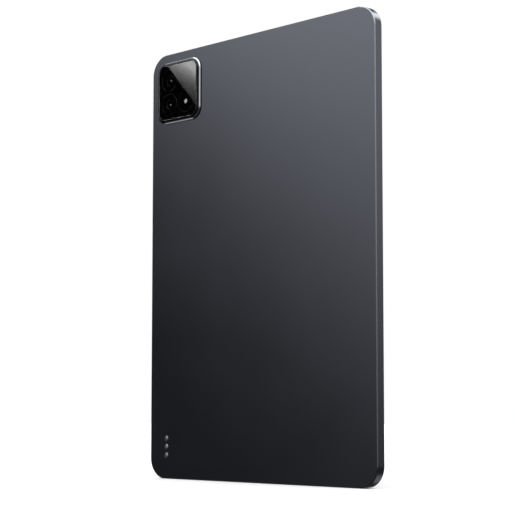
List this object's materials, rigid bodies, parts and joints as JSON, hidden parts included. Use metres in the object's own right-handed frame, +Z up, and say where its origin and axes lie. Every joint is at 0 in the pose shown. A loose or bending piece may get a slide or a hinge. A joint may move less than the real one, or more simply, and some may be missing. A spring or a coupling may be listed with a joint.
{
  "type": "tablet computer",
  "caption": "Slim tablet computer with a dark metal unibody, rounded corners, a square camera island on the back and a full-face cover glass; side keys, socket and inner parts are separate.",
  "frame": {"origin": "middle of the bottom short edge: the body stands upright on it with its box centred on X and Y", "axes": "+Z up the long side, -Y out of the screen, +Y out of the metal back and the camera island, +X to the right as seen from the screen (the volume keys' side)"},
  "size_m": [0.1737, 0.0084, 0.2515],
  "materials": {
    "housing_metal": "bead-blasted dark grey anodised aluminium, satin, with a brighter cut chamfer",
    "antenna_plastic": "moulded plastic, colour-matched to the metal",
    "island_metal": "polished and anodised dark grey aluminium",
    "camera_glass": "polished tinted glass, gloss",
    "black_film": "black printed film",
    "ring_metal": "fine turned dark metal",
    "black_foam": "closed-cell foam, matte",
    "camera_can": "black moulded plastic, matte",
    "lens_glass": "coated lens glass, gloss",
    "sensor_glass": "sensor under cover glass",
    "emitter": "pale yellow phosphor on a white carrier",
    "flash_lens": "frosted clear plastic with fine rings",
    "steel_sheet": "stamped stainless sheet",
    "cover_glass": "chemically strengthened glass, gloss, black printed border behind it",
    "clear_adhesive": "clear optical adhesive",
    "bezel_plastic": "black moulded frame, fine matte",
    "panel_glass": "dark liquid crystal panel, satin",
    "white_film": "white film, matte",
    "light_guide": "clear light guide with printed dots",
    "tray_metal": "stamped bright tray",
    "circuit_board": "solder mask over laminate",
    "key_metal": "dark grey anodised aluminium with polished edges",
    "switch_metal": "small stamped can",
    "socket_steel": "drawn stainless shell",
    "black_plastic": "black moulded plastic",
    "black_rubber": "black seal rubber",
    "contact_metal": "silvery plated contact, slightly dished",
    "copper_flex": "amber flexible circuit with copper traces",
    "driver_metal": "pressed basket and magnet plate",
    "steel_mesh": "fine black woven mesh",
    "graphite": "graphite sheet under thin film",
    "chip_resin": "black moulding compound",
    "connector_plastic": "cream moulded connector",
    "battery_pouch": "laminated foil pouch, dark wrap",
    "coil_copper": "enamelled copper winding",
    "magnet_metal": "nickel-plated magnet",
    "screw_steel": "small machine screw with socket head"
  },
  "bodies": {
    "tablet": {"rear_housing": "housing_metal", "antenna_windows": "antenna_plastic", "camera_ring": "island_metal", "camera_glass": "camera_glass", "camera_mask": "black_film", "lens_rings": "ring_metal", "camera_gasket": "black_foam", "main_camera_housing": "camera_can", "main_image_sensor": "sensor_glass", "second_camera_housing": "camera_can", "second_camera_lens": "lens_glass", "flash_led": "emitter", "flash_lens": "flash_lens", "camera_bracket": "steel_sheet", "cover_glass": "cover_glass", "glass_adhesive": "clear_adhesive", "bezel_frame": "bezel_plastic", "frame_gasket": "black_foam", "lcd_panel": "panel_glass", "diffuser_sheet": "white_film", "light_guide": "light_guide", "reflector_sheet": "white_film", "backlight_tray": "tray_metal", "led_bar": "emitter", "display_board": "circuit_board", "front_camera": "camera_can", "light_sensor": "camera_can", "key_switches": "switch_metal", "key_brackets": "steel_sheet", "usb_port_shell": "socket_steel", "usb_port_tongue": "black_plastic", "usb_seal": "black_rubber", "keyboard_contacts": "contact_metal", "contact_carrier": "black_plastic", "contact_flex": "copper_flex", "speaker_boxes": "black_plastic", "speaker_drivers": "driver_metal", "speaker_meshes": "steel_mesh", "microphones": "switch_metal", "main_board": "circuit_board", "shield_cans": "steel_sheet", "heat_spreader": "graphite", "board_chips": "chip_resin", "sub_board": "circuit_board", "board_connectors": "connector_plastic", "link_flexes": "copper_flex", "battery_left": "battery_pouch", "battery_right": "battery_pouch", "battery_adhesive": "white_film", "battery_board": "circuit_board", "stylus_coil": "coil_copper", "cover_magnets": "magnet_metal", "board_screws": "screw_steel", "bracket_screws": "screw_steel"},
    "power_key": {"power_button": "key_metal"},
    "volume_up_key": {"volume_up_button": "key_metal"},
    "volume_down_key": {"volume_down_button": "key_metal"},
    "focus_lens": {"main_lens_barrel": "camera_can", "main_lens_glass": "lens_glass"}
  },
  "joints": [
    {"name": "power_key_press", "type": "slide", "parent": "tablet", "child": "power_key", "axis": [0, 0, -1], "range_m": [0, 0.0003], "stiffness_N_per_m": 2000, "springref_m": -0.0001},
    {"name": "volume_up_press", "type": "slide", "parent": "tablet", "child": "volume_up_key", "axis": [-1, 0, 0], "range_m": [0, 0.0003], "stiffness_N_per_m": 2000, "springref_m": -0.0001},
    {"name": "volume_down_press", "type": "slide", "parent": "tablet", "child": "volume_down_key", "axis": [-1, 0, 0], "range_m": [0, 0.0003], "stiffness_N_per_m": 2000, "springref_m": -0.0001},
    {"name": "lens_focus", "type": "slide", "parent": "tablet", "child": "focus_lens", "axis": [0, 1, 0], "range_m": [0, 0.0003], "stiffness_N_per_m": 60}
  ]
}
